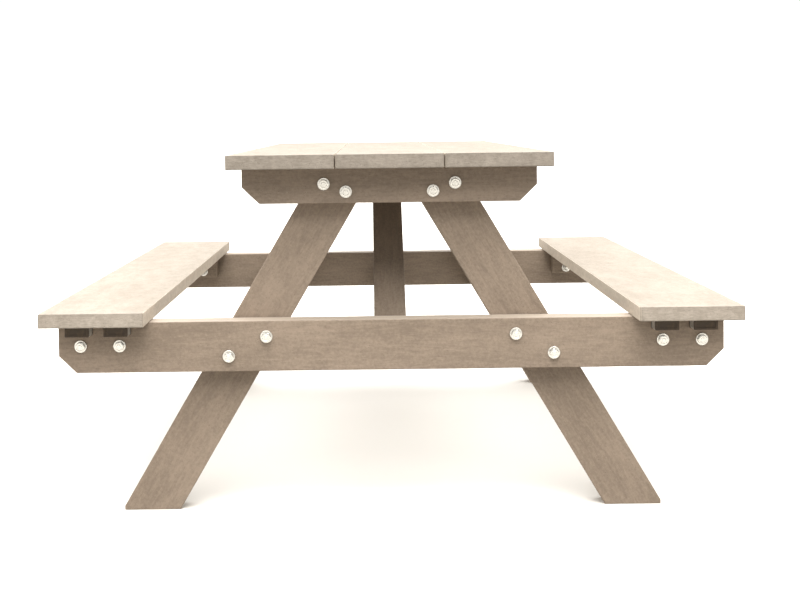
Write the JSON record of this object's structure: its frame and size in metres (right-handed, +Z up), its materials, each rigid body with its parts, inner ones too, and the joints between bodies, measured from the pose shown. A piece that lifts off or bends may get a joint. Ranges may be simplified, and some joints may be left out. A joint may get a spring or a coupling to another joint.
{
  "type": "picnic table",
  "caption": "A-frame picnic table of recycled plastic planks and beams, bolted, with a fixed bench seat on each long side.",
  "frame": {"origin": "on the ground, under the middle of the table", "axes": "+Z up, +Y along the planks, X across the table from seat to seat"},
  "size_m": [1.44, 1.5, 0.76],
  "materials": {
    "plank": "dry, rippled moulded surface",
    "beam": "dry, finely scraped moulded surface",
    "bolt": "stainless, lightly brushed",
    "section": "dull galvanised",
    "plug": "moulded, slightly dusty"
  },
  "bodies": {
    "root": {"back_bearer": "beam", "back_brace": "beam", "back_brace_foot_bracket": "section", "back_brace_head_bracket": "section", "back_leg_left": "beam", "back_leg_right": "beam", "back_rail": "beam", "back_seat_block_left": "beam", "back_seat_block_right": "beam", "bolt_back_left_bearer_inner": "bolt", "bolt_back_left_bearer_outer": "bolt", "bolt_back_left_leg_inner": "bolt", "bolt_back_left_leg_outer": "bolt", "bolt_back_left_seat_inner": "bolt", "bolt_back_left_seat_outer": "bolt", "bolt_back_right_bearer_inner": "bolt", "bolt_back_right_bearer_outer": "bolt", "bolt_back_right_leg_inner": "bolt", "bolt_back_right_leg_outer": "bolt", "bolt_back_right_seat_inner": "bolt", "bolt_back_right_seat_outer": "bolt", "bolt_front_left_bearer_inner": "bolt", "bolt_front_left_bearer_outer": "bolt", "bolt_front_left_leg_inner": "bolt", "bolt_front_left_leg_outer": "bolt", "bolt_front_left_seat_inner": "bolt", "bolt_front_left_seat_outer": "bolt", "bolt_front_right_bearer_inner": "bolt", "bolt_front_right_bearer_outer": "bolt", "bolt_front_right_leg_inner": "bolt", "bolt_front_right_leg_outer": "bolt", "bolt_front_right_seat_inner": "bolt", "bolt_front_right_seat_outer": "bolt", "front_bearer": "beam", "front_brace": "beam", "front_brace_foot_bracket": "section", "front_brace_head_bracket": "section", "front_leg_left": "beam", "front_leg_right": "beam", "front_rail": "beam", "front_seat_block_left": "beam", "front_seat_block_right": "beam", "plug_back_left_inner": "plug", "plug_back_left_outer": "plug", "plug_back_right_inner": "plug", "plug_back_right_outer": "plug", "plug_front_left_inner": "plug", "plug_front_left_outer": "plug", "plug_front_right_inner": "plug", "plug_front_right_outer": "plug", "seat_plank_left": "plank", "seat_plank_right": "plank", "seat_section_left_inner": "section", "seat_section_left_outer": "section", "seat_section_right_inner": "section", "seat_section_right_outer": "section", "top_batten": "beam", "top_plank_left": "plank", "top_plank_middle": "plank", "top_plank_right": "plank"}
  },
  "joints": []
}
